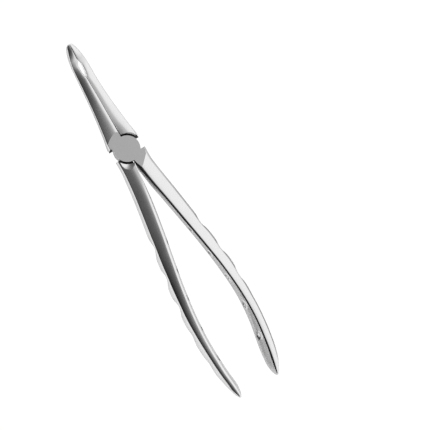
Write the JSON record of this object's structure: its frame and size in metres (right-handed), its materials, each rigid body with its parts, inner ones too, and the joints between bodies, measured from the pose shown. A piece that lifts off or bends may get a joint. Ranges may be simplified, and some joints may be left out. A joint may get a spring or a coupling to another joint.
{
  "type": "extraction forceps",
  "caption": "Dental extraction forceps with slender forward-curved beaks, spoon tips, a lap joint on a rivet and scalloped handles.",
  "frame": {"origin": "on the pivot axis, on the rear face of the lap joint, which is also the plane the handles rest on", "axes": "+Z along the pivot axis towards the front cheek and the side the beak tips curve to; +Y from the pivot towards the beak tips; +X to the side of the right handle"},
  "size_m": [0.0344, 0.1801, 0.0147],
  "materials": {
    "lever_steel": "satin cheeks and flats, mirror-polished beaks and handle fronts",
    "rivet_steel": "satin"
  },
  "bodies": {
    "front": {"front_lever": "lever_steel", "pivot_rivet": "rivet_steel"},
    "rear": {"rear_lever": "lever_steel"}
  },
  "joints": [
    {"name": "pivot", "type": "hinge", "parent": "front", "child": "rear", "pos_m": [0, 0, 0.005], "axis": [0, 0, -1], "range_deg": [0, 38]}
  ]
}
